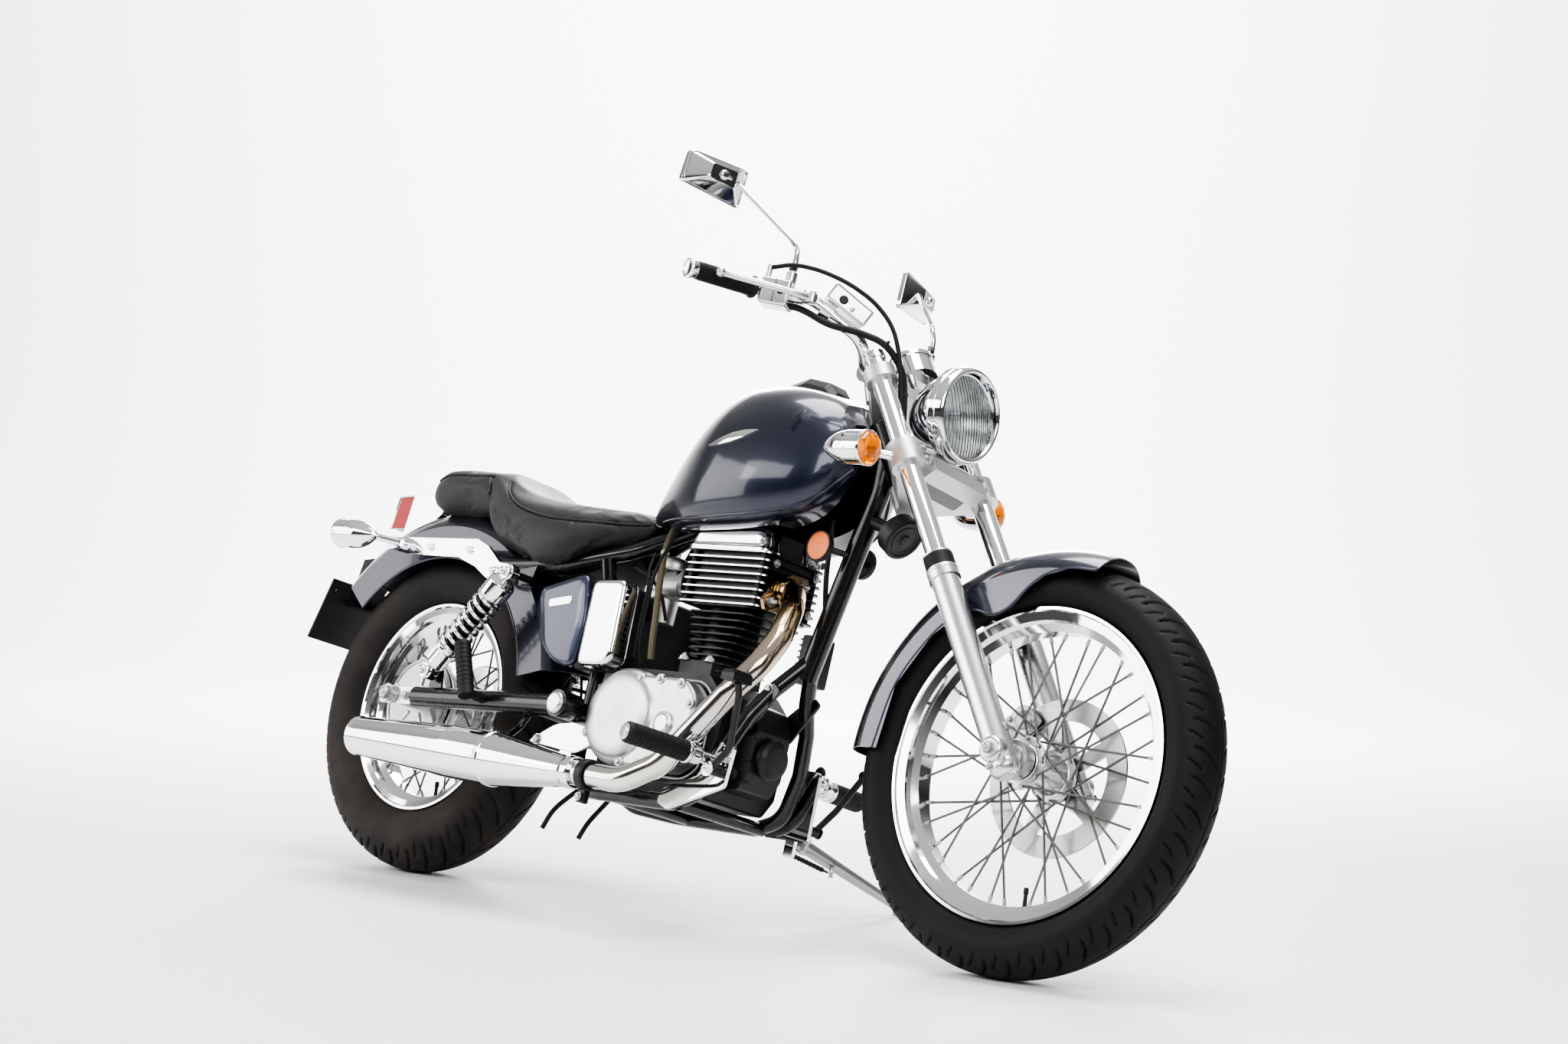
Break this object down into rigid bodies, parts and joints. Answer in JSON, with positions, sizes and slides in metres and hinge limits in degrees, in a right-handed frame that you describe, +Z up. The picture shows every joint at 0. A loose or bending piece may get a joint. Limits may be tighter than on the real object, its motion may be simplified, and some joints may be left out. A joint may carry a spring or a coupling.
{
  "type": "cruiser motorcycle",
  "caption": "Single-cylinder belt-drive cruiser motorcycle with teardrop tank, low dished seat and wire wheels, leaning on its side stand with the bars almost straight.",
  "frame": {"origin": "on the floor under the middle of the parked motorcycle's box", "axes": "+X towards the front wheel, +Y to the rider's left, +Z up from the floor"},
  "size_m": [2.1954, 0.928, 1.356],
  "materials": {
    "amber_lens": "clear",
    "black_plastic": "matte",
    "cast_aluminium": "cast",
    "chrome": "polished",
    "clear_glass": "fluted",
    "engine_black": "satin black",
    "frame_black": "gloss black",
    "paint": "deep metallic gloss",
    "rubber": "matte",
    "satin_aluminium": "satin",
    "seat_vinyl": "grained vinyl",
    "side_paint": "gloss",
    "steel": "zinc plated",
    "tyre": "matte with dust"
  },
  "bodies": {
    "chassis": {"frame_tubes": "frame_black", "engine_cases": "engine_black", "side_casings": "satin_aluminium", "cylinder_barrel": "engine_black", "cylinder_head": "engine_black", "head_cover": "chrome", "carburettor": "cast_aluminium", "air_box": "chrome", "side_covers": "side_paint", "exhaust_pipe": "chrome", "muffler": "chrome", "fuel_tank": "paint", "tank_fittings": "black_plastic", "rear_fender": "paint", "fender_rails": "chrome", "rider_seat": "seat_vinyl", "pillion_seat": "seat_vinyl", "tail_lamp": "chrome", "swingarm": "frame_black", "shock_absorbers": "chrome", "drive_belt": "rubber", "rear_axle": "steel", "rear_indicators": "chrome", "rear_lenses": "amber_lens", "plate_holder": "black_plastic", "peg_brackets": "chrome", "footpegs": "rubber", "foot_controls": "engine_black", "side_reflectors": "amber_lens", "horn": "engine_black"},
    "fork": {"fork_tubes": "chrome", "fork_sliders": "satin_aluminium", "triple_clamps": "cast_aluminium", "headlamp_shell": "chrome", "headlamp_lens": "clear_glass", "front_fender": "paint", "handlebar": "chrome", "grips": "rubber", "levers": "satin_aluminium", "mirrors": "chrome", "switch_gear": "satin_aluminium", "front_indicators": "chrome", "front_indicator_lenses": "amber_lens", "control_cables": "rubber", "front_axle": "steel", "brake_caliper": "engine_black", "speedometer": "chrome"},
    "front_wheel": {"front_tyre": "tyre", "front_rim": "chrome", "front_hub": "satin_aluminium", "brake_disc": "steel"},
    "rear_wheel": {"rear_tyre": "tyre", "rear_rim": "chrome", "rear_hub": "satin_aluminium", "rear_pulley": "satin_aluminium"},
    "side_stand": {"side_stand": "steel", "stand_spring": "steel"}
  },
  "joints": [
    {"name": "steering", "type": "hinge", "parent": "chassis", "child": "fork", "pos_m": [0.9046, -0.23295, 0.00071], "axis": [-0.5724, 0.226, 0.7882], "range_deg": [-38.09, 31.91]},
    {"name": "front_wheel_spin", "type": "hinge", "parent": "fork", "child": "front_wheel", "pos_m": [0.75799, -0.13532, 0.32657], "axis": [-0.0442, 0.9514, -0.3049], "continuous": true},
    {"name": "rear_wheel_spin", "type": "hinge", "parent": "chassis", "child": "rear_wheel", "pos_m": [-0.72195, -0.14508, 0.30715], "axis": [0, 0.9613, -0.2756], "continuous": true},
    {"name": "side_stand_fold", "type": "hinge", "parent": "chassis", "child": "side_stand", "pos_m": [0.14386, -0.03885, 0.13342], "axis": [0.0215, 0.58, 0.8143], "range_deg": [0, 92], "deforming": ["stand_spring"]}
  ]
}
